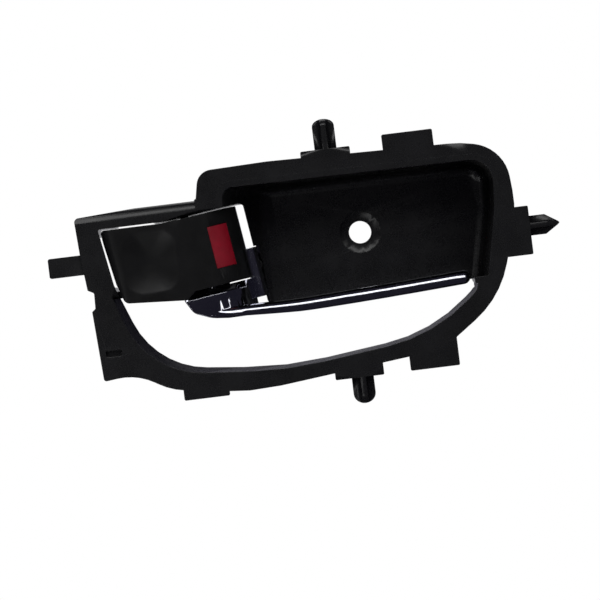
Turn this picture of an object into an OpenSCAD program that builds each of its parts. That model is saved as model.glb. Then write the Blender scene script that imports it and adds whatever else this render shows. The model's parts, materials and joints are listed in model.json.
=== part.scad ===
// Inside door handle of a car: moulded frame, chrome pull lever, lock lever with a red
// indicator, both levers on one steel pin. The front faces -Y, Z is up, and the origin is
// the seat of the fixing screw in the back of the recess.

/* [Frame] */
// Thickness of the front border
border_t = 2.5; // [1.8:0.1:3.5]
// Wall thickness of the recess, the grip ring and the hinge box
wall = 2.2; // [1.6:0.1:3]
// Width of the recess along its top edge
cup_w = 98.1; // [92:0.5:110]
// Height of the recess's top edge above the screw
cup_top = 21.4; // [19:0.2:26]
// Depth of the recess behind the border's face
cup_depth = 26; // [24:0.5:32]
// Height of the recess's back wall below the screw
cup_low = 21.5; // [20:0.5:24]
// Width of the border above the recess
top_border = 7.5; // [5:0.1:11]
// Width of the border beside the recess
side_border = 6.5; // [5:0.1:10]
// Drop of the grip ring's inner edge below the screw
grip_drop = 45.3; // [44:0.5:56]
// Width of the border below the grip opening
low_border = 7.6; // [6:0.1:11]
// Depth of the grip ring's inner wall
grip_depth = 13; // [9:0.5:18]
// Width of the border beside the thumb plate
plate_border = 6.6; // [5:0.1:9]
// Height of the hinge bar's front face
bar_h = 6.1; // [5:0.1:9]

/* [Fixings] */
// Diameter of the screw hole
screw_d = 8.2; // [5:0.1:9]
// Diameter of the screw head's seat
screw_seat_d = 15; // [12:0.5:20]
// Depth of the screw head's seat
screw_seat_deep = 1.2; // [0.6:0.1:2]
// Width across the upper and lower locating pins
locator_d = 8; // [6:0.1:10]
// Length of the upper and lower locating pins
locator_len = 11; // [8:0.5:16]
// Width across the pointed locating pin
point_d = 7.2; // [5:0.1:9]
// Length of the pointed locating pin
point_len = 10.9; // [8:0.1:16]
// Thickness of the ribs of the locating pins
locator_rib = 2.4; // [1.6:0.1:3]

/* [Hinge] */
// Diameter of the hinge pin
hinge_d = 3; // [2.5:0.1:4]
// Lean of the hinge pin towards the left
hinge_lean = 7.5; // [0:0.5:9]
// Radial clearance of both levers on the pin
hinge_play = 0.05; // [0.02:0.01:0.08]
// Wall of the bosses round the pin
boss_wall = 3.1; // [2.4:0.1:3.6]
// Gap between the levers and the frame
gap = 0.6; // [0.4:0.05:0.9]

/* [Pull lever] */
// Height of the pull bar
blade_h = 5.2; // [4:0.1:6.5]
// Thickness of the pull bar from front to back
blade_t = 7.5; // [6:0.1:9]
// Travel of the pull lever
pull_travel = 28; // [20:1:30]

/* [Lock lever] */
// Radius of the drum on the hinge
drum_r = 19; // [18:0.1:20]
// Length of the thumb plate from the hinge
plate_len = 30.4; // [28:0.1:32]
// Skin thickness of the lock lever
skin = 2.2; // [1.6:0.1:2.8]
// Radius of the thumb plate's left edge
plate_edge = 5; // [3:0.5:6]
// Width of the thumb dish
dish_w = 20.4; // [14:0.2:21]
// Height of the thumb dish
dish_h = 23; // [16:0.5:24]
// Depth of the thumb dish
dish_deep = 1.8; // [1:0.1:2.4]

/* [Indicator] */
// Width of the red indicator round the drum, in degrees
mark_angle = 27; // [18:1:32]
// Height of the red indicator
mark_h = 15.3; // [10:0.1:18]
// Thickness of the red indicator
mark_t = 1.2; // [0.8:0.1:1.5]

/* [Return spring] */
// Diameter of the spring's wire
wire_d = 1.2; // [0.8:0.1:1.4]
// Number of turns
turns = 5; // [3:1:5]

/* [Hidden] */
$fn = 72;
e = 0.01;

black = "#1d1e20";
gloss_black = "#131416";
chrome = "#c9ccd1";
red = "#8f0b1e";
steel = "#8d9196";
rubber = "#0e0e0f";

// Levels along Y, from the front to the rear
front_y = -cup_depth - screw_seat_deep;
border_y = front_y + border_t;
cup_back_y = -screw_seat_deep;
cup_rear_y = cup_back_y + wall + 0.3;
grip_y = front_y + grip_depth;

// Hinge line: a point on the pin's axis, at the middle of the levers
hinge_x = -61;
hinge_y = front_y + 17.7;
hinge_z = -2.9;
shelf_y = hinge_y + hinge_d / 2 + boss_wall + 0.6;

// Lines of the recess and the border
cup_l = hinge_x + 12.8;
cup_r = cup_l + cup_w;
top_z = cup_top + top_border;
right_x = cup_r + side_border;
low_z = -grip_drop - low_border;
ring_l = cup_l - 9.6;
side_x = hinge_x - plate_len - 4.2;
bar_l = side_x - plate_border;
bar_low = hinge_z + 14.9;
bar_top = bar_low + bar_h;

// Heights along the pin, measured from the middle of the levers
ear_z = 15.9;
ear_t = 2.9;
lock_top = ear_z - gap;
lock_web_z = 0.2;
lock_low = -11.2;
hub_top = lock_web_z - gap;
floor_top = lock_low - 0.4;
floor_t = 1.4;
hub_low = floor_top - floor_t;
low_ear_top = hub_low - gap;
low_ear_t = 2.9;
neck_top = -0.8;
neck_low = -18.9;
neck_r = drum_r + 0.4;
neck_t = 3.4;
neck_rear = 4.4;
pocket_r = neck_r + neck_t + gap + 0.6;
boss_r = hinge_d / 2 + boss_wall;
head_t = 1.2;

// Turns a list of corners [x, y, radius] into an outline with round corners
function unit(v) = v / norm(v);
function turned(v, a) = [v[0] * cos(a) - v[1] * sin(a), v[0] * sin(a) + v[1] * cos(a)];
function flat(p) = [p[0], p[1]];
function corner(a, b, c, r, step) =
    let (u = unit(a - b), v = unit(c - b), half = acos(u * v) / 2)
    r <= 0 || half > 89.9 ? [b] :
    let (reach = r / tan(half),
         mid = b + unit(u + v) * r / sin(half),
         start = b + u * reach - mid,
         side = sign(cross(u, v)),
         sweep = 180 - 2 * half,
         steps = max(2, ceil(sweep / step)))
    [for (i = [0 : steps]) mid + turned(start, -side * sweep * i / steps)];
function outline(p, step = 9) =
    let (n = len(p))
    [for (i = [0 : n - 1])
        each corner(flat(p[(i + n - 1) % n]), flat(p[i]), flat(p[(i + 1) % n]), p[i][2], step)];

// Moves every edge of a clockwise corner list outwards by d
function out_normal(a, b) = let (d = unit(b - a)) [-d[1], d[0]];
function grow(p, d) =
    let (n = len(p))
    [for (i = [0 : n - 1])
        let (a = flat(p[(i + n - 1) % n]), b = flat(p[i]), c = flat(p[(i + 1) % n]),
             m = out_normal(a, b), k = out_normal(b, c),
             q = b + (m + k) * d / (1 + m * k))
        [q[0], q[1], p[i][2] > 0 ? max(p[i][2] + d, 0.2) : 0]];

// Points of a pie slice about the origin
function slice(a0, a1, r) =
    let (steps = ceil((a1 - a0) / 30))
    [[0, 0], for (i = [0 : steps]) let (a = a0 + (a1 - a0) * i / steps) r * [cos(a), sin(a)]];

// Stands a front view drawn in X and Z between two depths
module slab(y0, y1) {
    translate([0, y1, 0]) rotate([90, 0, 0]) linear_extrude(y1 - y0) children();
}

// Places children in the hinge's own frame, with the pin along Z
module at_hinge() {
    translate([hinge_x, hinge_y, hinge_z]) rotate([0, -hinge_lean, 0]) children();
}

// Places children drawn in the frame's axes inside the hinge's own frame
module from_hinge() {
    rotate([0, hinge_lean, 0]) translate([-hinge_x, -hinge_y, -hinge_z]) children();
}

// Cuts a length of something drawn in plan out of the hinge's frame
module along_pin(z0, z1) {
    translate([0, 0, z0]) linear_extrude(z1 - z0) children();
}

// Closes a row of rings of points into a solid
module skin_rings(rings) {
    n = len(rings[0]);
    last = len(rings) - 1;
    polyhedron(points = [for (r = rings) each r], faces = concat(
        [[for (i = [n - 1 : -1 : 0]) i]],
        [[for (i = [0 : n - 1]) last * n + i]],
        [for (k = [0 : last - 1], i = [0 : n - 1])
            let (a = k * n + i, b = k * n + (i + 1) % n)
            each [[a, b, a + n], [b, b + n, a + n]]]));
}

module ring_2d(r0, r1) {
    difference() {
        circle(r1);
        circle(r0);
    }
}

// Corners of the recess at one depth, clockwise; shift moves the slanted left side
function cup_corners(shift, low) = [
    [cup_l + shift - 1.6, low, 0],
    [cup_l + shift, cup_top, 4],
    [cup_r, cup_top - 0.8, 8],
    [cup_r - 1.2, 3, 30],
    [cup_r - 7.6, low, 0]];

// Depth below the border's face, inset and left shift of each level of the recess
cup_levels = [[0, 0, 0], [0.5, 0.5, 5.5], [0.8, 1.0, 9.5], [0.92, 1.8, 11.2],
              [0.97, 3.0, 12], [1, 5, 12.5]];

module cup_form(grown, low, y_end) {
    hull() {
        for (l = cup_levels)
            slab(front_y + l[0] * (y_end - front_y) - (l[0] == 0 ? e : 0),
                 front_y + l[0] * (y_end - front_y) + (l[0] == 0 ? 0 : e))
                polygon(outline(grow(cup_corners(l[2], low), grown - l[1])));
    }
}

// Inner edge of the grip ring, clockwise; flare moves its lower left outwards
function grip_corners(flare) = [
    [cup_r - 11.9, 4, 0],
    [cup_r - 11.6, 20.2 - grip_drop, 4],
    [cup_r - 28.6, 6 - grip_drop, 58],
    [cup_l + 15.9, -grip_drop, 132],
    [side_x + 16.2 - flare, 5.4 - grip_drop - flare / 2, 30],
    [side_x + 3.9 - flare / 2, -7, 0],
    [side_x + 9, 4, 0]];

module grip_form(grown, y_end) {
    hull() {
        slab(front_y - e, front_y)
            polygon(outline(grow(grip_corners(2), 1.2 + grown)));
        slab(y_end - e, y_end)
            polygon(outline(grow(grip_corners(0), grown)));
    }
}

// Window of the hinge box, seen from the front
window_corners = [
    [side_x + 1.4, bar_low, 0.8],
    [hinge_x - 9.5, bar_low, 0],
    [cup_l + 4.5, bar_low + 3.3, 0],
    [cup_l + 6.8, bar_low + 3.3, 1],
    [cup_l + 11.7, -cup_low - 2, 0],
    [side_x + 10, -cup_low - 2, 0],
    [side_x + 4.8, -8.6, 6]];

// Outer edge of the frame, clockwise from the bar's upper left corner
frame_corners = [
    [bar_l - 0.1, bar_top - 1.2, 1.5],
    [bar_l + 22, bar_top, 40],
    [ring_l, bar_top + 0.4, 0.6],
    [ring_l + 1.9, top_z - 0.5, 5.7],
    [ring_l + 27, top_z + 0.1, 60],
    [right_x - 17.2, top_z - 1.6, 44],
    [right_x - 1.7, top_z - 5.2, 14.7],
    [right_x, 0.5, 40],
    [right_x - 9.4, low_z + 23.1, 36],
    [right_x - 32.2, low_z + 7.1, 14],
    [cup_l + 1.5, low_z, 90],
    [cup_l - 26.8, low_z + 4.4, 25],
    [bar_l + 15.8, low_z + 11.5, 21],
    [bar_l + 3.8, low_z + 10.2, 1],
    [bar_l + 2.5, -17.2, 0.4],
    [bar_l + 3.8, -16.2, 0.4],
    [bar_l + 4, -10.6, 0.8],
    [bar_l + 1.8, -9.4, 0.4],
    [bar_l + 0.6, 3, 20]];

// Tabs of the border: left, right, bottom and top of each
upper_tab = [11.3, 29.7, top_z - 8, top_z + 4.6];
lower_tab = [11.7, 29.5, low_z + 5, low_z + 0.7];
left_low_tab = [cup_l - 22.3, cup_l - 5.8, low_z - 0.1, low_z + 6];
upper_pad = [-18.4, -0.5, top_z - 6, top_z + 2];
lower_pad = [-15.6, 2, low_z + 0.6, low_z + 6];
right_pad = [right_x - 5, right_x + 4.2, -15.8, 1.8];
left_tongue = [bar_l - 11.2, bar_l + 3, -3.6, 3.6];
pad_t = locator_d;
upper_pin_x = -9.1;
lower_pin_x = -5.8;
right_pin_z = -5.5;
pin_y = front_y + locator_d / 2;

function box_corners(b, r) = [[b[0], b[2], r], [b[0], b[3], r], [b[1], b[3], r], [b[1], b[2], r]];

module tab_2d(b, r = 0.6) {
    polygon(outline(box_corners(b, r)));
}

module border_plate() {
    slab(front_y, border_y) {
        polygon(outline(frame_corners));
        tab_2d(upper_tab);
        tab_2d([lower_tab[0], lower_tab[1], lower_tab[3], lower_tab[2] + 12]);
        tab_2d(left_low_tab);
    }
    slab(front_y, front_y + pad_t) {
        tab_2d(upper_pad, 0.5);
        tab_2d(lower_pad, 0.5);
        tab_2d(right_pad, 0.5);
    }
    slab(front_y + 0.6, front_y + 3.4) tab_2d(left_tongue, 0.8);
}

// Walls behind the hinge bar and beside the window
top_window = [hinge_x - 26.5, hinge_x - 13];
module hinge_box() {
    difference() {
        slab(front_y, shelf_y)
            polygon([[side_x - wall - 0.4, bar_low + wall], [hinge_x - 9.5, bar_low + wall],
                     [cup_l + 4.5, bar_low + 3.3 + wall], [cup_l + 12, bar_low + 3.3 + wall],
                     [cup_l + 12, bar_low], [side_x + 4, bar_low - 4], [side_x + 7, -13],
                     [side_x + 3, -13], [side_x + 0.6, -10]]);
        // Window in the top wall, above the thumb plate
        slab(border_y, shelf_y + 1)
            tab_2d([top_window[0], top_window[1], bar_low - 1, bar_low + wall + 1], 0);
    }
    // Deeper roof over the hinge
    slab(shelf_y - e, shelf_y + 5)
        polygon([[top_window[1], bar_low], [top_window[1], bar_low + wall],
                 [hinge_x - 9.5, bar_low + wall], [cup_l + 4.5, bar_low + 3.3 + wall],
                 [cup_l + 12, bar_low + 3.3 + wall], [cup_l + 12, bar_low]]);
    slab(front_y, shelf_y - 6)
        polygon([[bar_l + 1, bar_top - 3.2], [bar_l + 1, bar_top - 1.2], [bar_l + 22, bar_top - e],
                 [ring_l + 5, bar_top - e], [ring_l + 5, bar_top - wall],
                 [bar_l + 22, bar_top - wall]]);
    cable_bracket();
}

// Bracket on the side wall with the two open slots that hold the cable ends
cable_slot = 5;
module cable_bracket() {
    difference() {
        translate([side_x - wall, shelf_y - 5, -19])
            cube([wall + 0.6, cable_y - shelf_y + 10, 28]);
        for (z = [lock_cable_z, latch_cable_z])
            translate([side_x - wall - 1, cable_y, z]) {
                rotate([0, 90, 0]) cylinder(d = cable_slot, h = wall + 2.6);
                translate([0, 0, -cable_slot / 2 + 0.4]) cube([wall + 2.6, 20, cable_slot - 0.8]);
            }
    }
}

// Lower ear: carries the pin from the recess's rear, under the levers
module lower_ear() {
    rear = cup_back_y - hinge_y;
    along_pin(low_ear_top - low_ear_t, low_ear_top) {
        circle(boss_r);
        polygon([[1, -boss_r + 0.4], [10, 1.6], [17, neck_rear + 0.9], [22.6, rear - 1.9],
                 [24.5, rear - 0.5], [27, rear + 0.6], [ledge_r, rear + 0.9], [ledge_r, rear + wall],
                 [13, rear + wall], [-2, boss_r - 0.5]]);
        intersection() {
            circle(post_at + post_r);
            polygon(slice(10, stop_angle, 30));
        }
    }
    // Post that the return spring's fixed leg leans on
    rotate(post_angle) translate([post_at, 0, low_ear_top - low_ear_t])
        cylinder(r = post_r, h = hub_top - 0.4 - low_ear_top + low_ear_t);
    // Lug that stops the pull lever's crank at full travel
    along_pin(low_ear_top - low_ear_t, hub_low + crank_t - 1) intersection() {
        ring_2d(post_at - post_r, post_at + post_r);
        polygon(slice(stop_angle - 10, stop_angle, 30));
    }
}

post_angle = 30;
post_at = 9.6;
post_r = 1.8;
crank_angle = 112;
crank_len = 18;
crank_w = 6;
crank_t = 4;
stop_angle = crank_angle - pull_travel - asin(crank_w / 2 / (post_at - post_r)) - 1.5;
cable_at = crank_len - 3;
peg_at = 9.5;
peg_r = 1.2;
cable_hole_r = 1.6;
cable_y = hinge_y + cable_at * sin(crank_angle);
latch_cable_z = hinge_z + (hub_low + crank_t / 2) * cos(hinge_lean);
lock_crank_z = 5;
lock_cable_z = hinge_z + (lock_crank_z + crank_t / 2) * cos(hinge_lean);

// Locating pin of four ribs with a domed or pointed end, along Z
module locator(d, len, tip) {
    intersection() {
        rotate_extrude() polygon(concat([[0, -e]], [[d / 2, -e]], [[d / 2, len - tip]],
            tip > d / 2
            ? [[0.6, len - 0.5]]
            : [for (a = [15 : 15 : 75]) [d / 2 * cos(a), len - tip + tip * sin(a)]], [[0, len]]));
        union() {
            for (a = [0, 90])
                rotate(a) translate([-d / 2, -locator_rib / 2, -2 * e])
                    cube([d, locator_rib, len + 1]);
        }
    }
}

// Gusset between the recess and the border, seen from the side
module gusset(x, z0, z1) {
    translate([x - 0.8, 0, 0]) rotate([90, 0, 90]) linear_extrude(1.6)
        polygon([[border_y - e, z0], [border_y - e, z1], [border_y + 3, z1], [border_y + 11, z0]]);
}

module frame_body() {
    difference() {
        union() {
            difference() {
                union() {
                    border_plate();
                    intersection() {
                        grip_form(wall, grip_y);
                        slab(front_y, grip_y) polygon([[bar_l, low_z], [bar_l, -9], [ring_l, -24],
                            [cup_r - 20, -24], [cup_r + 5, -14], [cup_r + 5, low_z]]);
                    }
                }
                grip_form(0, grip_y + 1);
            }
            cup_form(wall, -cup_low, cup_rear_y);
            hinge_box();
            for (x = [-40, -27, 6, 36]) gusset(x, cup_top, top_z - 1.6);
        }
        difference() {
            cup_form(0, -cup_low - 6, cup_back_y);
            // Closed foot of the recess at its lower right corner
            slab(front_y - 2, 2) polygon([[cup_r, -cup_low], [cup_r - 11.4, -cup_low],
                [cup_r - 11.4, -cup_low - 3.4], [cup_r - 20, -cup_low - 9], [cup_r, -cup_low - 9]]);
        }
        slab(front_y - 1, cup_rear_y + 12) polygon(outline(window_corners));
        // The box is wider than its window beside the thumb plate
        slab(border_y, cup_rear_y + 12) polygon([[side_x - 0.4, 9.4], [side_x + 4, 9.4],
            [side_x + 7, -9.4], [side_x + 2.8, -9.4]]);
        at_hinge() translate([0, 0, low_ear_top - low_ear_t - 8])
            cylinder(r = pocket_r, h = neck_top + 0.5 - (low_ear_top - low_ear_t - 8));
        bar_round();
    }
}

// Rounds the front of the hinge bar's upper edge
module bar_round() {
    r = 3.2;
    translate([bar_l - 5, front_y + r, bar_top - r]) rotate([0, 90, 0]) difference() {
        translate([-r - 1, -r - 1, 0]) cube([r + 1, r + 1, ring_l - bar_l + 4.4]);
        translate([0, 0, -1]) cylinder(r = r, h = ring_l - bar_l + 8);
    }
}

module frame() {
    color(black) difference() {
        union() {
            frame_body();
            // Screw boss with its four ribs
            translate([0, cup_rear_y - e, 0]) rotate([-90, 0, 0]) {
                cylinder(d = screw_seat_d, h = 2.6);
                for (a = [45 : 90 : 315])
                    rotate(a) translate([screw_seat_d / 2 - 1, -0.8, 0]) cube([10, 1.6, 1.6]);
            }
            at_hinge() {
                lower_ear();
                translate([0, 0, ear_z]) cylinder(r = boss_r, h = ear_t);
                bumper_ledge();
            }
            lock_rest();
            translate([upper_pin_x, pin_y, upper_pad[3]]) locator(locator_d, locator_len, 2.6);
            translate([lower_pin_x, pin_y, lower_pad[2]])
                rotate([180, 0, 0]) locator(locator_d, locator_len - 1.5, 3.6);
            translate([right_pad[1], pin_y, right_pin_z])
                rotate([0, 90, 0]) locator(point_d, point_len, 5.2);
        }
        // Screw hole and the seat of its head
        rotate([90, 0, 0]) {
            cylinder(d = screw_d, h = 40, center = true);
            cylinder(d = screw_seat_d, h = 10);
        }
        at_hinge() {
            translate([0, 0, low_ear_top - 30]) cylinder(d = hinge_d + 0.04, h = 30 + e);
            translate([0, 0, ear_z - e]) cylinder(d = hinge_d + 0.04, h = ear_t + 10);
            translate([0, 0, ear_z + ear_t]) cylinder(d = 2 * boss_r, h = 2.4);
            bumper_place() {
                rotate([-90, 0, 0]) cylinder(r = bumper_stem_r, h = 10);
                rotate([90, 0, 0]) cylinder(r = bumper_r + 0.3, h = bumper_len + 1);
            }
        }
        // Slot in the lower left of the border
        slab(front_y - e, front_y + 1.4)
            polygon(outline(box_corners([bar_l + 5.6, bar_l + 11.4, -34.2, -31.8], 0.6)));
    }
}

// Ledge behind the thumb plate's corner
module lock_rest() {
    translate([side_x + 4.4 - wall, hinge_y - drum_r + plate_edge + 0.3, -13.6])
        cube([5.6, wall, 2.6]);
}

bumper_r = 2.2;
bumper_len = 3.6;
bumper_stem_r = 1.2;
bumper_x = neck_r + neck_t / 2;
bumper_z = -7.2;
ledge_y = neck_rear + 0.3 + bumper_len;
ledge_l = sqrt(pow(drum_r + gap, 2) - pow(ledge_y, 2));
ledge_r = 31;
module bumper_place() {
    translate([bumper_x, ledge_y, bumper_z]) children();
}
module bumper_ledge() {
    translate([ledge_l, ledge_y, low_ear_top - e])
        cube([ledge_r - ledge_l, wall + 0.3, bumper_z + 4 - low_ear_top]);
}

// Lower edge of the pull bar at a share t of its length: X, Y of its front face, Z
blade_l = hinge_x + 4;
blade_r = cup_r - 12.6;
nose_drop = 0.8;
function blade_edge(t) = let (x = blade_l + (blade_r - blade_l) * t)
    [x, hinge_y - drum_r - 0.7 + 4.5 * pow(t, 3),
     -26.1 + (x < -24 ? 0.017 : 0.0128) * pow(abs(x + 24), 1.3)];
// Height of the bar, which grows from its root
function blade_high(t) = blade_h * (0.6 + 0.4 * (1 - pow(1 - min(1, t / 0.55), 2)));
function tip_size(t) = let (left = (1 - t) * (blade_r - blade_l))
    left > 2.4 ? 1 : sqrt(max(0.02, 1 - pow(1 - left / 2.4, 2)));
function blade_ring(t) =
    let (m = blade_edge(t), h = blade_high(t) / 2, k = tip_size(t))
    [for (a = [0 : 22.5 : 359])
        [m[0],
         m[1] + blade_t / 2 * (1 - k * sign(cos(a)) * pow(abs(cos(a)), 0.85)),
         m[2] + h + k * h * sign(sin(a)) * pow(abs(sin(a)), 0.75)
             - k * nose_drop * h / blade_h * 2 * pow(max(0, cos(a)), 2)]];
blade_steps = concat([for (i = [0 : 26]) i / 26 * 0.975], [0.985, 0.993, 0.998, 1]);

module blade() {
    skin_rings([for (t = blade_steps) blade_ring(t)]);
}

// Front view of the lever's root below the lock lever
root_corners = [
    [hinge_x - 5.4, -17.1, 0.5],
    [hinge_x + 3, -2, 0],
    [hinge_x + 20, -2, 0],
    [hinge_x + 21.3, -25.2, 0],
    [hinge_x + 10, -25.3, 8],
    [hinge_x + 4, -24.7, 12],
    [hinge_x - 2.4, -22.2, 5]];

root_r = drum_r + 0.6;
root_t = 2.8;
root_top = lock_low - 2.8;
high_root = -36;
module lever_root() {
    // Curved front wall: high beside the drum, low in front of it to let the thumb plate pass
    intersection() {
        union() {
            along_pin(-26, root_top) intersection() {
                ring_2d(root_r - root_t, root_r);
                polygon(slice(-118, -19, 40));
            }
            along_pin(root_top - e, floor_top) intersection() {
                ring_2d(root_r - root_t, root_r);
                polygon(slice(high_root, -19, 40));
            }
            // Inner wall that joins the front wall to the floor
            along_pin(root_top - 4, floor_top) intersection() {
                ring_2d(inner_r - 2, inner_r);
                polygon(slice(-116, -19, 40));
            }
            along_pin(root_top - 4, root_top - 2.4) intersection() {
                ring_2d(inner_r - 1, root_r - 1);
                polygon(slice(-108, -19, 40));
            }
        }
        from_hinge() slab(front_y - 8, 0) polygon(outline(root_corners));
    }
    // Floor between the hub and the walls
    along_pin(hub_low, floor_top) {
        intersection() {
            circle(inner_r - e);
            polygon(slice(-125, 5, 40));
        }
        intersection() {
            circle(root_r - 0.1);
            polygon(slice(high_root, 5, 40));
        }
    }
}
inner_r = drum_r - skin - 0.8;

// Neck: stands beside the drum and meets the rest bumper
module lever_neck() {
    intersection() {
        union() {
            along_pin(neck_low, neck_top) ring_2d(neck_r, neck_r + neck_t);
            along_pin(neck_low, floor_top) ring_2d(root_r - root_t, neck_r + neck_t);
        }
        along_pin(neck_low - 1, neck_top + 1) polygon([[0, 0], 30 * [cos(-20), sin(-20)],
            [30, neck_rear], [12, neck_rear]]);
    }
}

module crank() {
    difference() {
        rotate(crank_angle) along_pin(0, crank_t) {
            translate([0, -crank_w / 2]) square([crank_len - crank_w / 2, crank_w]);
            translate([crank_len - crank_w / 2, 0]) circle(d = crank_w);
        }
        rotate(crank_angle) translate([cable_at, 0, -1]) cylinder(r = cable_hole_r, h = crank_t + 2);
    }
}

module pull_lever() {
    color(chrome) difference() {
        union() {
            blade();
            at_hinge() {
                translate([0, 0, hub_low]) cylinder(r = boss_r, h = hub_top - hub_low);
                lever_root();
                lever_neck();
                translate([0, 0, hub_low]) {
                    crank();
                    rotate(crank_angle) translate([peg_at, 0, 0])
                        cylinder(r = peg_r, h = crank_t + wire_d + 1);
                }
            }
        }
        at_hinge() translate([0, 0, -20]) cylinder(r = hinge_d / 2 + hinge_play, h = 40);
    }
}

// Front view of the lock lever; the drum's foot ends foot_x left of the pin
foot_x = 2.5;
foot_z = hinge_z + lock_low * cos(hinge_lean) - foot_x * sin(hinge_lean);
lock_corners = [
    [hinge_x - plate_len - 2.4, bar_low - gap, 1.5],
    [hinge_x - 10.3, bar_low - gap, 4],
    [hinge_x + 24, bar_low + 4, 0],
    [hinge_x + 24, foot_z, 0],
    [hinge_x - 1, foot_z, 0],
    [hinge_x - 4, -17.2, 0.8],
    [hinge_x - 26.4, -15.7, 2.4],
    [hinge_x - 28.9, -8.4, 8]];

// Thumb dish: a shallow bowl with a square rim, enlarged by grown
dish_x = -76.6;
dish_z = -2;
module dish_form(grown) {
    hull() {
        for (w = [1.12 : -0.21 : 0])
            let (y = hinge_y - drum_r + grown + dish_deep * (1 - w * w))
                slab(w > 1 ? y - 3 : y - e, y) polygon(outline(box_corners(
                    [dish_x - dish_w / 2 * w - grown, dish_x + dish_w / 2 * w + grown,
                     dish_z - dish_h / 2 * w - grown, dish_z + dish_h / 2 * w + grown],
                    1 + 5 * w), 15));
    }
}

module lock_lever() {
    color(gloss_black) at_hinge() difference() {
        union() {
            lock_skin();
            lock_inside();
        }
        from_hinge() dish_form(0);
        mark_form(0.1, mark_t + 0.1);
        translate([0, 0, -20]) cylinder(r = hinge_d / 2 + hinge_play, h = 50);
    }
}

// Front skin: thumb plate on the left, drum on the right
module lock_skin() {
    intersection() {
        union() {
            along_pin(lock_low, lock_top) intersection() {
                ring_2d(drum_r - skin, drum_r);
                polygon(slice(-90, 2, 40));
            }
            along_pin(-20, 30) {
                translate([-plate_len + plate_edge, -drum_r])
                    square([plate_len - plate_edge - foot_x, skin]);
                translate([-plate_len + plate_edge, -drum_r + plate_edge]) intersection() {
                    ring_2d(plate_edge - skin, plate_edge);
                    translate([-plate_edge, -plate_edge]) square(plate_edge + e);
                }
            }
            along_pin(lock_low, lock_top) translate([-foot_x, -drum_r]) square([foot_x, skin]);
            intersection() {
                from_hinge() dish_form(skin);
                along_pin(-20, 30) translate([-plate_len + plate_edge - 1, -drum_r + 1])
                    square([plate_len - plate_edge, 8]);
            }
        }
        from_hinge() slab(front_y - 4, 12) polygon(outline(lock_corners));
    }
}

// Hub, webs and crank behind the skin
module lock_inside() {
    translate([0, 0, lock_web_z]) cylinder(r = boss_r, h = lock_top - lock_web_z);
    for (z = [lock_web_z, lock_top - 2])
        along_pin(z, z + 2) {
            intersection() {
                circle(drum_r - 1);
                polygon(slice(-100, 2, 40));
            }
            polygon([[2, -drum_r + 1], [3, 3], [-3, 3], [-plate_len + 2, -drum_r + plate_edge],
                     [-plate_len + 2, -drum_r + 3.6], [-plate_len + 4, -drum_r + 1]]);
        }
    translate([0, 0, lock_crank_z]) crank();
}

// Red indicator let into the drum's flank
mark_at = -53.5;
mark_z = 2.4;
module mark_form(side, deep) {
    along_pin(mark_z - mark_h / 2 - side, mark_z + mark_h / 2 + side) intersection() {
        ring_2d(drum_r - deep, drum_r + (side > 0 ? 1 : -0.15));
        polygon(slice(mark_at - mark_angle / 2 - side * 3, mark_at + mark_angle / 2 + side * 3, 30));
    }
}

module lock_indicator() {
    color(red) at_hinge() mark_form(0, mark_t);
}

module hinge_pin() {
    low = low_ear_top - low_ear_t - 1;
    color(steel) at_hinge() {
        translate([0, 0, low]) cylinder(d = hinge_d, h = ear_z + ear_t - low + e);
        translate([0, 0, ear_z + ear_t]) cylinder(d = hinge_d + 2.4, h = head_t);
    }
}

// Torsion spring round the pull lever's hub; one leg leans on the crank's peg and pushes
// it back, the other leans on the frame's post
coil_r = boss_r + 0.5 + wire_d / 2;
coil_pitch = wire_d + 0.12;
coil_low = hub_low + crank_t + 0.3 + wire_d / 2;
leg = 8.5;
leg_off = coil_r + wire_d / 2 + 0.05;
free_at = crank_angle + acos((leg_off + peg_r) / peg_at);
fixed_at = post_angle - acos((leg_off + post_r) / post_at) + 360 * turns;
function coil_point(a, side) = let (z = coil_low + coil_pitch * (a - free_at) / 360)
    [coil_r * cos(a) - side * sin(a), coil_r * sin(a) + side * cos(a), z];
module return_spring() {
    color(steel) at_hinge() sweep_wire(concat(
        [for (s = [leg, leg / 2]) coil_point(free_at, -s)],
        [for (a = [free_at : 20 : fixed_at]) coil_point(a, 0)],
        [for (s = [leg / 2, leg]) coil_point(fixed_at, s)]));
}

// Sweeps a round wire along a route that stays nearly level
module sweep_wire(route) {
    last = len(route) - 1;
    skin_rings([for (i = [0 : last])
        let (d = unit(route[min(i + 1, last)] - route[max(i - 1, 0)]),
             s = unit(cross(d, [0, 0, 1])), u = cross(s, d))
        [for (k = [0 : 60 : 300]) route[i] + wire_d / 2 * (cos(k) * s + sin(k) * u)]]);
}

// Rubber pad that the neck comes to rest on
module rest_bumper() {
    color(rubber) at_hinge() bumper_place() rotate([90, 0, 0]) {
        cylinder(r = bumper_r, h = bumper_len);
        translate([0, 0, -3.4]) cylinder(r = bumper_stem_r - 0.02, h = 3.5);
    }
}

frame();
pull_lever();
lock_lever();
lock_indicator();
hinge_pin();
return_spring();
rest_bumper();
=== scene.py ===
import json
import math
import bmesh
import bpy
from mathutils import Matrix, Vector


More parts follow.
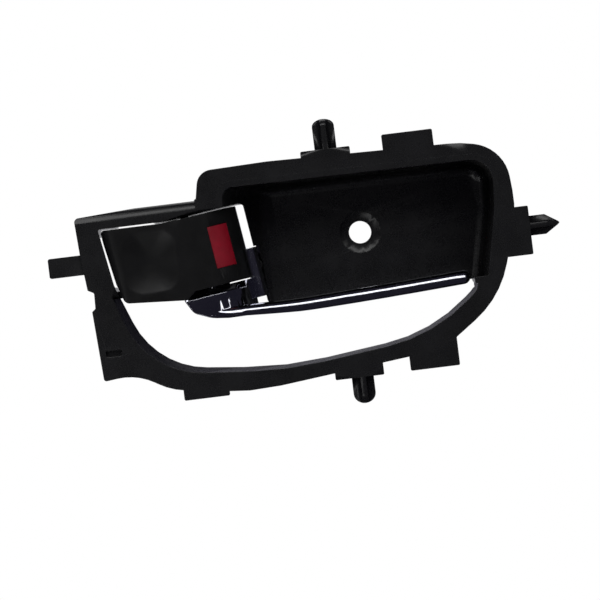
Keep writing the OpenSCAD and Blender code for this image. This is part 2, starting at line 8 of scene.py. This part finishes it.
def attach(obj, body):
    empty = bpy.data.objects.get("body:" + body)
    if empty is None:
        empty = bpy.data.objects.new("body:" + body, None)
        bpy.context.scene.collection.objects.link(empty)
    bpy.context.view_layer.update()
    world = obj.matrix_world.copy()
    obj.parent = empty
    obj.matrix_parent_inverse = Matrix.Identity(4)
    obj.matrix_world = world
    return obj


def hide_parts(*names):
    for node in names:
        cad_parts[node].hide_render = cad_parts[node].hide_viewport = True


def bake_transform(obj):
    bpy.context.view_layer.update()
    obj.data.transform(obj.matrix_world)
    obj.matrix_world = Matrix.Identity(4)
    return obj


# Inside door handle of a car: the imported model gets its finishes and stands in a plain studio
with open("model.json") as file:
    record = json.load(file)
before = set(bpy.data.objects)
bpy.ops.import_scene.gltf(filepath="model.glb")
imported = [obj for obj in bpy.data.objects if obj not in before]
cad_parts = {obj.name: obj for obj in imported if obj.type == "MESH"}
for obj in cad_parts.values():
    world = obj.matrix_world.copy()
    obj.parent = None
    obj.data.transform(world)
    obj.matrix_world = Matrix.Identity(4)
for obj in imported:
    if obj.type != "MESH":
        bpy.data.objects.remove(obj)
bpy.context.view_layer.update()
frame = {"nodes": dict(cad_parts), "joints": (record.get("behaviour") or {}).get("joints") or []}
nodes = frame["nodes"]
mm = 0.001
white = (1, 1, 1, 1)
scene = bpy.context.scene
pinJoint = next(j for j in frame["joints"] if j["name"] == "lock_hinge")
hinge = Vector(pinJoint["pos_m"])  # on the pin's line, where both levers turn
print("packed model loaded")


# sRGB hex to linear colour
def srgb(code):
    parts = [int(code[i:i + 2], 16) / 255 for i in (1, 3, 5)]
    return [p / 12.92 if p <= 0.04045 else ((p + 0.055) / 1.055) ** 2.4 for p in parts] + [1]


def addNode(tree, kind, inputs=None, **settings):
    node = tree.nodes.new(kind)
    for key, value in settings.items():
        setattr(node, key, value)
    for key, value in (inputs or {}).items():
        if isinstance(value, bpy.types.NodeSocket):
            tree.links.new(value, node.inputs[key])
        else:
            node.inputs[key].default_value = value
    return node


def addToScene(name, data):
    thing = bpy.data.objects.new(name, data)
    scene.collection.objects.link(thing)
    return thing


# Noise detail and the ranges it is stretched over, the same for all finishes
# The last two entries set how the painted shade in recesses fades in with occlusion, and its
# samples
layers = {"cloudDetail": 3, "grainDetail": 4, "grainRough": 0.6, "smearDetail": 5,
          "drift": (0.3, 0.7), "marks": (0.12, 0.4), "bend": (0.98, 0.8), "polish": 0.8,
          "shadeOcclusion": (0.6, 0.98), "edgeSamples": 6, "shadeSamples": 8}


# Moulded, plated or drawn surface: fine grain, uneven gloss, slow drift of colour, edges
# rounded by their real radius and rubbed smoother where hands and trim touch them.
# Lengths in a look are mm: patch, grain and smear are the widths of the colour drift, the
# grain and the handling marks, edge is the rounding, ripple and depth are heights
def surface(name, look):
    material = bpy.data.materials.new(name)
    material.use_nodes = True
    tree = material.node_tree
    shader = tree.nodes["Principled BSDF"]
    place = addNode(tree, "ShaderNodeTexCoord").outputs["Object"]
    cloud = addNode(tree, "ShaderNodeTexNoise", {
        "Vector": place, "Scale": 1 / (look["patch"] * mm), "Detail": layers["cloudDetail"]})
    grain = addNode(tree, "ShaderNodeTexNoise", {
        "Vector": place, "Scale": 1 / (look["grain"] * mm), "Detail": layers["grainDetail"],
        "Roughness": layers["grainRough"]})
    smear = addNode(tree, "ShaderNodeTexNoise", {
        "Vector": place, "Scale": 1 / (look["smear"] * mm), "Detail": layers["smearDetail"]})

    # Colour drifts between dark and light, and edges are rubbed paler
    drift = addNode(tree, "ShaderNodeMapRange", {
        "Value": cloud.outputs["Fac"],
        "From Min": layers["drift"][0], "From Max": layers["drift"][1]})
    fresh = addNode(tree, "ShaderNodeMix", {
        0: drift.outputs["Result"], 6: srgb(look["dark"]), 7: srgb(look["light"])},
        data_type="RGBA")
    edge = addNode(tree, "ShaderNodeBevel", {"Radius": look["edge"] * mm},
                   samples=layers["edgeSamples"])
    flat = addNode(tree, "ShaderNodeNewGeometry").outputs["Normal"]
    bend = addNode(tree, "ShaderNodeVectorMath", {0: edge.outputs["Normal"], 1: flat},
                   operation="DOT_PRODUCT")
    rub = addNode(tree, "ShaderNodeMapRange", {
        "Value": bend.outputs["Value"], "From Min": layers["bend"][0],
        "From Max": layers["bend"][1], "To Max": look["rub"]})
    colour = addNode(tree, "ShaderNodeMix", {
        0: rub.outputs["Result"], 6: fresh.outputs[2], 7: srgb(look["worn"])},
        data_type="RGBA")
    if "inside" in look:  # painted shade: faces hemmed in by the piece's own shape are mixed toward a darker colour, standing in for the shade inside recesses
        shadeOcclusion = addNode(tree, "ShaderNodeAmbientOcclusion", {
            "Distance": look["shadeReach"] * mm}, samples=layers["shadeSamples"], only_local=True)
        unshaded = addNode(tree, "ShaderNodeMapRange", {
            "Value": shadeOcclusion.outputs["AO"],
            "From Min": layers["shadeOcclusion"][0], "From Max": layers["shadeOcclusion"][1]})
        colour = addNode(tree, "ShaderNodeMix", {
            0: unshaded.outputs["Result"], 6: srgb(look["inside"]), 7: colour.outputs[2]},
            data_type="RGBA")
    tree.links.new(colour.outputs[2], shader.inputs["Base Color"])

    # Gloss is uneven through grain and handling marks, and best on the rubbed edges
    marks = addNode(tree, "ShaderNodeMath", {
        0: grain.outputs["Fac"], 1: smear.outputs["Fac"]}, operation="MULTIPLY")
    rough = addNode(tree, "ShaderNodeMapRange", {
        "Value": marks.outputs[0],
        "From Min": layers["marks"][0], "From Max": layers["marks"][1],
        "To Min": look["rough"][0], "To Max": look["rough"][1]})
    polished = addNode(tree, "ShaderNodeMix", {
        0: rub.outputs["Result"], 2: rough.outputs["Result"],
        3: look["rough"][0] * layers["polish"]})
    tree.links.new(polished.outputs[0], shader.inputs["Roughness"])

    # Rounded edges first, then the ripple of the moulding, then the grain
    ripple = addNode(tree, "ShaderNodeBump", {
        "Height": cloud.outputs["Fac"], "Distance": look["ripple"] * mm,
        "Normal": edge.outputs["Normal"]})
    bump = addNode(tree, "ShaderNodeBump", {
        "Height": grain.outputs["Fac"], "Strength": look["bump"],
        "Distance": look["depth"] * mm, "Normal": ripple.outputs["Normal"]})
    tree.links.new(bump.outputs["Normal"], shader.inputs["Normal"])
    shader.inputs["Metallic"].default_value = look.get("metal", 0)
    shader.inputs["Specular IOR Level"].default_value = look.get("gloss", 0.5)
    return material


copyLook = {"weld": 0.0005, "flatWeight": 70}  # mm, and how much large faces set the shading


# Copy of a solid with its curved faces shaded round and its real corners kept crisp
def smoothCopy(name, piece, body, angle, material, shape=None):
    mesh = nodes[name].data.copy()
    work = bmesh.new()
    work.from_mesh(mesh)
    bmesh.ops.remove_doubles(work, verts=work.verts, dist=copyLook["weld"] * mm)
    if shape:
        shape(work)
    work.to_mesh(mesh)
    work.free()
    mesh.shade_smooth()
    mesh.set_sharp_from_angle(angle=math.radians(angle))
    mesh.materials.clear()
    mesh.materials.append(material)
    copy = addToScene(piece, mesh)
    weigh = copy.modifiers.new("flat faces stay flat", "WEIGHTED_NORMAL")
    weigh.keep_sharp, weigh.weight = True, copyLook["flatWeight"]
    if body:  # a piece without a body is attached to none
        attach(copy, body)
    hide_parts(name)
    return copy


def dress(name, material):
    mesh = nodes[name].data
    mesh.materials.clear()
    mesh.materials.append(material)


# Frame: ABS moulded in a spark-eroded tool, dull black, with painted shade darkening its
# recesses. The real grain of about 0.15 mm is finer than a pixel and drawn at 0.35 mm
frameLook = {"dark": "#111112", "light": "#161618", "worn": "#232326", "inside": "#050506",
             "shadeReach": 30, "patch": 14, "grain": 0.35, "smear": 6, "rough": (0.24, 0.33),
             "edge": 0.35, "rub": 0.5, "ripple": 0.05, "bump": 0.3, "depth": 0.02,
             "gloss": 0.6, "angle": 20}
barLook = {"front": -17.7, "low": 17.7, "rise": 3.3, "deep": 1.25,
           "end": -4.2, "reach": 1}  # mm from the hinge point


# The hinge bar's upper edge is a flat slope that catches the light along its length
def slopeBar(work):
    foot = hinge + Vector((0, barLook["front"], barLook["low"])) * mm
    out = Vector((0, -barLook["rise"], barLook["deep"])).normalized()
    end = hinge.x + barLook["end"] * mm
    for vert in work.verts:
        over = (vert.co - foot).dot(out)
        if vert.co.x < end and vert.co.z > foot.z and 0 < over < barLook["reach"] * mm:
            vert.co -= out * over


smoothCopy("frame", "mouldedFrame", "frame", frameLook["angle"],
           surface("abs_black_spark_grained", frameLook), slopeBar)
print("frame dressed")

# Thumb lever: ABS moulded in a finely blasted tool, satin black that shows soft highlights
lockLook = {"dark": "#0e0e0f", "light": "#131314", "worn": "#1c1c1e", "patch": 9,
            "grain": 0.2, "smear": 4, "rough": (0.3, 0.4), "edge": 0.4, "rub": 0.4,
            "ripple": 0.05, "bump": 0.1, "depth": 0.01, "gloss": 0.3, "angle": 28}
smoothCopy("lock_lever", "thumbLever", "lock", lockLook["angle"],
           surface("abs_black_satin_moulded", lockLook))
print("thumb lever dressed")

# Pull lever: bright chromium plated on moulded ABS, a mirror with faint ripple of the moulding
chromeLook = {"dark": "#c4c5cf", "light": "#d4d5dc", "worn": "#dcdce0", "patch": 7,
              "grain": 0.7, "smear": 5, "rough": (0.04, 0.09), "edge": 0.45, "rub": 0.3,
              "ripple": 0.12, "bump": 0.04, "depth": 0.01, "metal": 1, "angle": 22}
smoothCopy("pull_lever", "chromePullLever", "pull", chromeLook["angle"],
           surface("chromium_bright_plated", chromeLook))
print("pull lever dressed")

# Indicator: self-coloured red ABS pressed into the drum, moderate gloss
markLook = {"dark": "#6d0013", "light": "#80021c", "worn": "#960a24", "patch": 5,
            "grain": 0.2, "smear": 3, "rough": (0.28, 0.4), "edge": 0.6, "rub": 0.4,
            "ripple": 0.02, "bump": 0.08, "depth": 0.01}
dress("lock_indicator", surface("abs_red_moulded", markLook))

# Pin and spring: plain drawn steel, grey with a fine haze
steelLook = {"dark": "#8c8e93", "light": "#a2a4a8", "worn": "#b4b6ba", "patch": 3,
             "grain": 0.3, "smear": 2, "rough": (0.24, 0.4), "edge": 0.2, "rub": 0.4,
             "ripple": 0.01, "bump": 0.1, "depth": 0.01, "metal": 1}
steel = surface("steel_drawn_plain", steelLook)
dress("hinge_pin", steel)

# The spring's free leg sits at the pull lever and its fixed leg at the frame's post. Here it is
# a smooth-shaded copy on no body, with its place baked into its mesh
coilLook = {"free": -7.3, "fixed": -2.9, "angle": 70}  # mm along the pin from the hinge point
coil = smoothCopy("return_spring", "coiledSpring", None, coilLook["angle"], steel)
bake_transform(coil)

# Rest pad: moulded black rubber, dull and slightly dusty
rubberLook = {"dark": "#0c0c0c", "light": "#141414", "worn": "#202020", "patch": 4,
              "grain": 0.3, "smear": 2, "rough": (0.7, 0.85), "edge": 0.3, "rub": 0.4,
              "ripple": 0.02, "bump": 0.3, "depth": 0.02}
dress("rest_bumper", surface("rubber_black_moulded", rubberLook))
print("small pieces dressed")

# Camera: far in front of the handle, rolled as in the photograph; width is what it sees there
view = {"roll": 7.0, "distance": 1.5, "aim": (-0.0249, -0.0272, -0.0220), "width": 0.2160,
        "sensor": 36, "clip": (0.1, 10)}
roll = math.radians(view["roll"])
right = Vector((math.cos(roll), 0, -math.sin(roll)))
up = Vector((math.sin(roll), 0, math.cos(roll)))
back = Vector((0, -1, 0))
camera = addToScene("camera", bpy.data.cameras.new("camera"))
camera.data.sensor_width = view["sensor"]
camera.data.lens = view["sensor"] * view["distance"] / view["width"]
camera.data.clip_start, camera.data.clip_end = view["clip"]
camera.matrix_world = Matrix.Translation(
    Vector(view["aim"]) + back * view["distance"]) @ Matrix(
    (right, up, back)).transposed().to_4x4()
scene.camera = camera
print("camera placed")


# Rectangular soft lamp; level is the brightness of its face
def areaLamp(name, look):
    lamp = bpy.data.lights.new(name, "AREA")
    lamp.shape = "RECTANGLE"
    lamp.size, lamp.size_y = look["size"]
    lamp.energy = look["level"] * math.pi * lamp.size * lamp.size_y
    thing = addToScene(name, lamp)
    thing.location = look["spot"]
    aim = Vector(look["aim"]) - Vector(look["spot"])
    thing.rotation_euler = aim.to_track_quat("-Z", "Y").to_euler()


# One long soft tube above the camera draws the line on the chrome
tube = {"spot": (-0.05, -0.80, 0.62), "aim": (-0.02, 0, -0.01), "size": (1.8, 0.36),
        "level": 2.2}
areaLamp("longTube", tube)

# A slim panel at the left draws the rounded left edges
leftSide = {"spot": (-0.78, -0.72, -0.22), "aim": (-0.06, 0, -0.01), "size": (0.1, 0.3),
            "level": 3.0}
areaLamp("leftPanel", leftSide)

# A panel low in front lights the upper side of the thumb dish. It stands left of the middle,
# where the chrome doesn't mirror it
lowSide = {"spot": (-0.36, -0.94, -0.42), "aim": (-0.06, 0, -0.01), "size": (0.4, 0.5),
           "level": 1.15}
areaLamp("lowPanel", lowSide)

# A soft panel behind lights the ribs and the box at the rear
rearSide = {"spot": (-0.1, 0.9, 1.05), "aim": (-0.02, 0, -0.01), "size": (1.4, 0.7),
            "level": 1.0}
areaLamp("rearPanel", rearSide)

# Pale floor of matt seamless paper, well below the handle
floorLook = {"colour": "#f2f2f0", "rough": 0.9, "height": -0.36, "half": 1.1, "lift": 0.3}
half, height = floorLook["half"], floorLook["height"]
groundMesh = bpy.data.meshes.new("floor")
groundMesh.from_pydata([(-half, -half, height), (half, -half, height),
                        (half, half, height), (-half, half, height)], [], [(0, 1, 2, 3)])
floor = addToScene("floor", groundMesh)
floor.visible_glossy = False  # mirrored rays see the room instead
paper = bpy.data.materials.new("paper_white_matt")
paper.use_nodes = True
tree = paper.node_tree
shader = tree.nodes["Principled BSDF"]
shader.inputs["Base Color"].default_value = srgb(floorLook["colour"])
shader.inputs["Roughness"].default_value = floorLook["rough"]
shader.inputs["Emission Color"].default_value = white
seen = addNode(tree, "ShaderNodeLightPath").outputs["Is Camera Ray"]
lift = addNode(tree, "ShaderNodeMath", {0: seen, 1: floorLook["lift"]}, operation="MULTIPLY")
tree.links.new(lift.outputs[0], shader.inputs["Emission Strength"])
groundMesh.materials.append(paper)

# World: soft even fill, white where the camera looks past the handle and in mirrored views of
# that backdrop, and a dim room in front for the mirrors
room = {"fill": 0.6, "dim": 0.03, "tint": "#b9b4dc", "backdrop": (0.97, 0.995), "white": 1.0}
world = bpy.data.worlds.new("studio")
scene.world = world
world.use_nodes = True
tree = world.node_tree
ray = addNode(tree, "ShaderNodeLightPath").outputs
toward = addNode(tree, "ShaderNodeSeparateXYZ", {
    "Vector": addNode(tree, "ShaderNodeTexCoord").outputs["Generated"]})
rear = addNode(tree, "ShaderNodeMapRange", {
    "Value": toward.outputs["Y"],
    "From Min": room["backdrop"][0], "From Max": room["backdrop"][1]})
shiny = addNode(tree, "ShaderNodeMath", {
    0: ray["Is Glossy Ray"], 1: ray["Is Transmission Ray"]}, operation="MAXIMUM")
mirrored = addNode(tree, "ShaderNodeMath", {
    0: shiny.outputs[0], 1: rear.outputs["Result"]}, operation="MULTIPLY")
plain = addNode(tree, "ShaderNodeMath", {
    0: mirrored.outputs[0], 1: ray["Is Camera Ray"]}, operation="MAXIMUM")
level = addNode(tree, "ShaderNodeMix", {
    0: shiny.outputs[0], 2: room["fill"], 3: room["dim"]})
strength = addNode(tree, "ShaderNodeMix", {
    0: plain.outputs[0], 2: level.outputs[0], 3: room["white"]})
tint = addNode(tree, "ShaderNodeMix", {
    0: shiny.outputs[0], 6: white, 7: srgb(room["tint"])}, data_type="RGBA")
colour = addNode(tree, "ShaderNodeMix", {
    0: plain.outputs[0], 6: tint.outputs[2], 7: white}, data_type="RGBA")
tree.links.new(strength.outputs[0], tree.nodes["Background"].inputs["Strength"])
tree.links.new(colour.outputs[2], tree.nodes["Background"].inputs["Color"])
scene.view_settings.view_transform = "Standard"
print("studio set")
